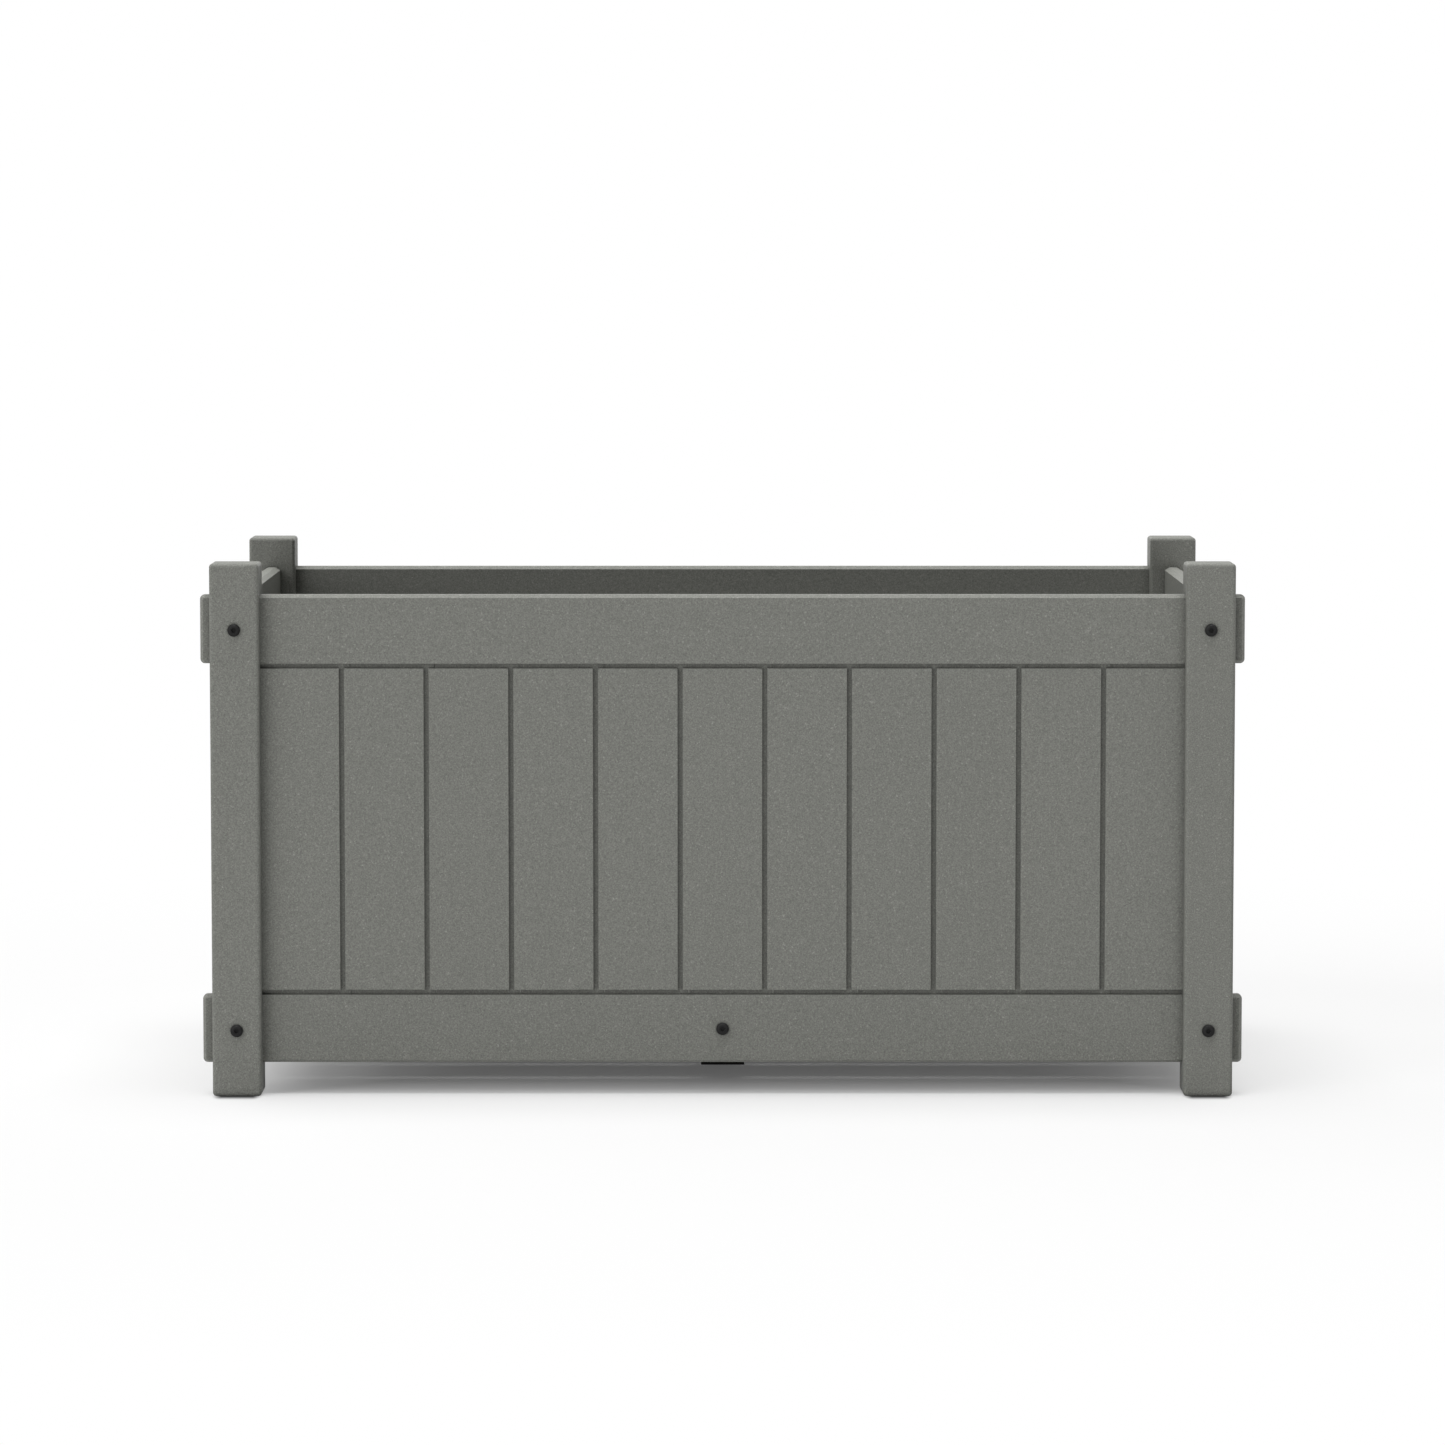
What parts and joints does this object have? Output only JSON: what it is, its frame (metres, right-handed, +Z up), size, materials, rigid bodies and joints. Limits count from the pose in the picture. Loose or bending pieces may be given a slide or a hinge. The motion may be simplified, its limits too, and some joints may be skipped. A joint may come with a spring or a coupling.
{
  "type": "planter box",
  "caption": "Long rectangular planter box: upright tongued slats between railed corner posts, rail ends standing out as rounded through tenons, and a slatted floor on a steel strap.",
  "frame": {"origin": "on the ground under the middle of the planter", "axes": "+X along the length, front towards -Y, +Z up"},
  "size_m": [0.9144, 0.4752, 0.4684],
  "materials": {
    "grey_lumber": "solid-colour grey recycled plastic lumber, matt, finely speckled, machined edges rounded over",
    "black_hardware": "black coated steel button-head bolts, satin",
    "black_strap": "black powder-coated steel flat bar, satin, finely textured",
    "bright_hardware": "plain stainless steel screws and threaded inserts, satin"
  },
  "bodies": {
    "root": {"cleat_screws": "bright_hardware", "corner_bolts": "black_hardware", "floor_bearer": "grey_lumber", "floor_board_1": "grey_lumber", "floor_board_2": "grey_lumber", "floor_board_3": "grey_lumber", "floor_board_4": "grey_lumber", "floor_board_5": "grey_lumber", "floor_cleat_left": "grey_lumber", "floor_cleat_right": "grey_lumber", "floor_screws": "bright_hardware", "floor_strap": "black_strap", "middle_bolts": "black_hardware", "post_back_left": "grey_lumber", "post_back_right": "grey_lumber", "post_front_left": "grey_lumber", "post_front_right": "grey_lumber", "rail_back_bottom": "grey_lumber", "rail_back_top": "grey_lumber", "rail_front_bottom": "grey_lumber", "rail_front_top": "grey_lumber", "rail_left_bottom": "grey_lumber", "rail_left_top": "grey_lumber", "rail_right_bottom": "grey_lumber", "rail_right_top": "grey_lumber", "slat_back_01": "grey_lumber", "slat_back_02": "grey_lumber", "slat_back_03": "grey_lumber", "slat_back_04": "grey_lumber", "slat_back_05": "grey_lumber", "slat_back_06": "grey_lumber", "slat_back_07": "grey_lumber", "slat_back_08": "grey_lumber", "slat_back_09": "grey_lumber", "slat_back_10": "grey_lumber", "slat_back_11": "grey_lumber", "slat_front_01": "grey_lumber", "slat_front_02": "grey_lumber", "slat_front_03": "grey_lumber", "slat_front_04": "grey_lumber", "slat_front_05": "grey_lumber", "slat_front_06": "grey_lumber", "slat_front_07": "grey_lumber", "slat_front_08": "grey_lumber", "slat_front_09": "grey_lumber", "slat_front_10": "grey_lumber", "slat_front_11": "grey_lumber", "slat_left_1": "grey_lumber", "slat_left_2": "grey_lumber", "slat_left_3": "grey_lumber", "slat_left_4": "grey_lumber", "slat_left_5": "grey_lumber", "slat_right_1": "grey_lumber", "slat_right_2": "grey_lumber", "slat_right_3": "grey_lumber", "slat_right_4": "grey_lumber", "slat_right_5": "grey_lumber", "threaded_inserts": "bright_hardware"}
  },
  "joints": []
}
